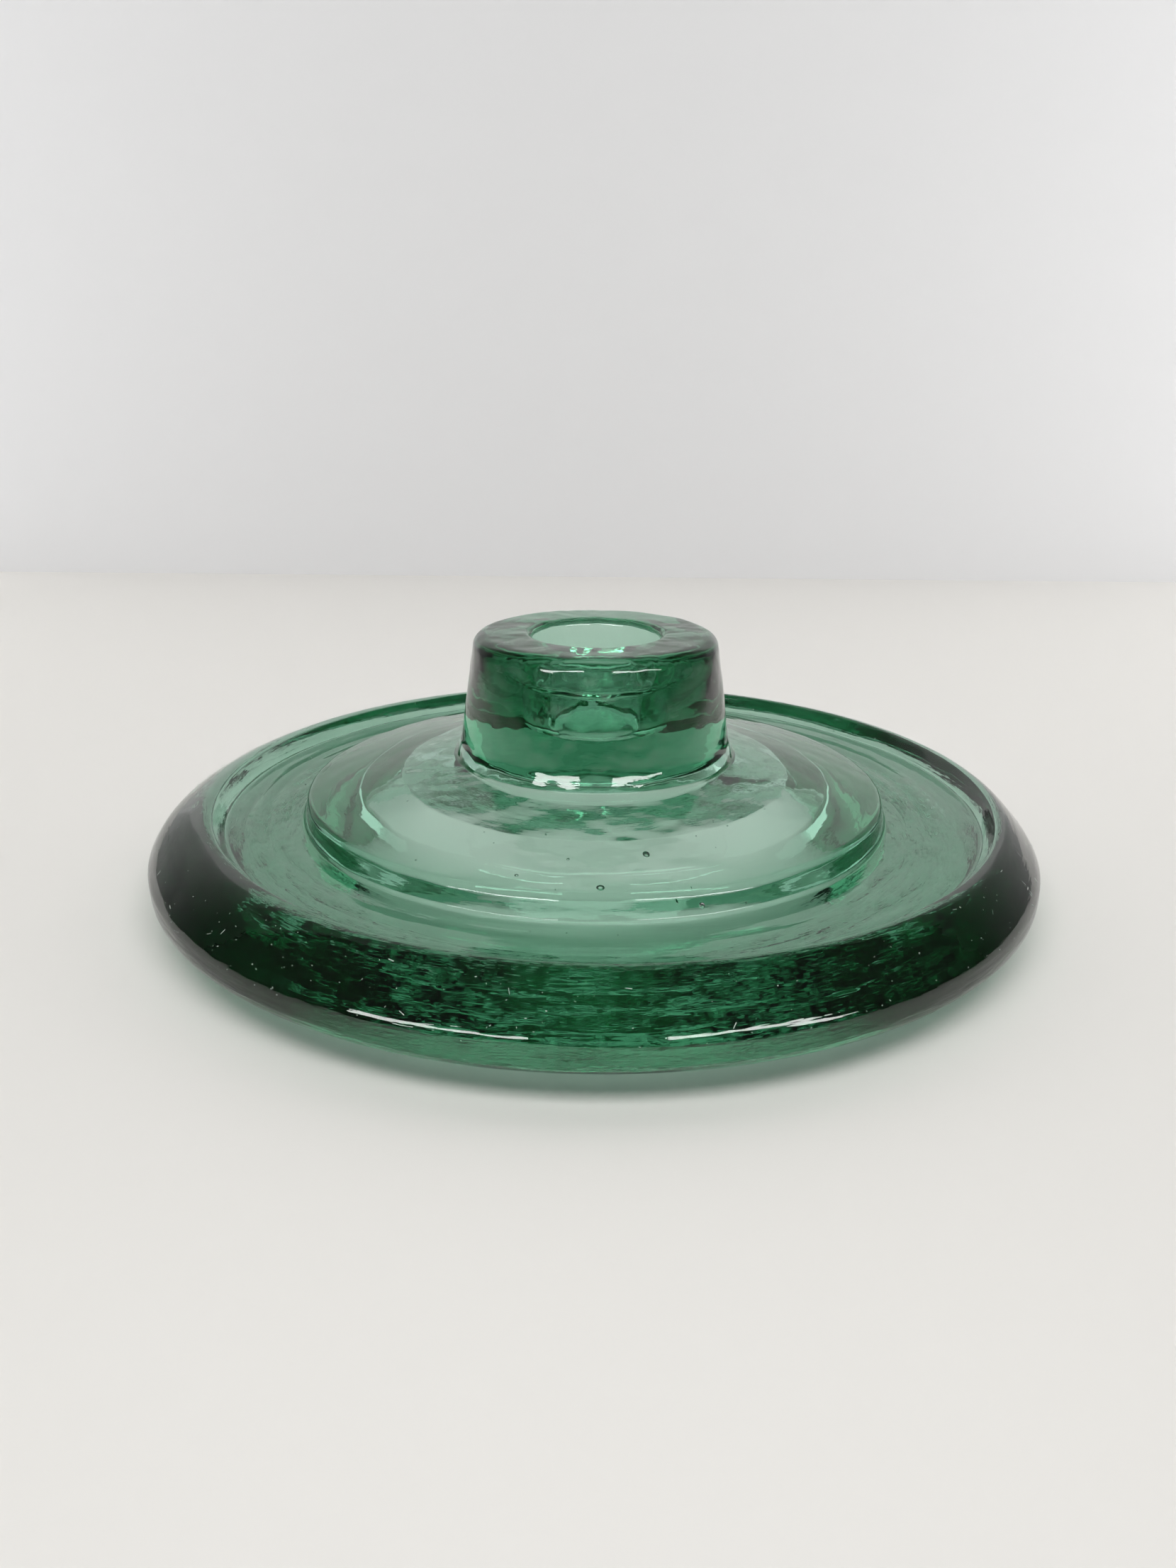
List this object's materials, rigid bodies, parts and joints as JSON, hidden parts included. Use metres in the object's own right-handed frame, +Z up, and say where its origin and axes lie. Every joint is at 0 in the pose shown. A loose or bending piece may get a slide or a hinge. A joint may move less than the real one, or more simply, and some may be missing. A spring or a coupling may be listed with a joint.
{
  "type": "glass insulator",
  "caption": "Disc-shaped pressed glass insulator with a thick sloping rim, a stepped shoulder, a central tapered knob with a smooth blind pin hole, and a hollow underside inside a foot ring.",
  "frame": {"origin": "centre of the circle that the foot ring stands on", "axes": "+Z up along the axis of the knob and its hole; the glass is a body of revolution, so X and Y are free"},
  "size_m": [0.23, 0.23, 0.065],
  "materials": {
    "green_glass": "pressed glass, fire-polished, with fine flow lines and seed bubbles"
  },
  "bodies": {
    "root": {"glass_body": "green_glass"}
  },
  "joints": []
}
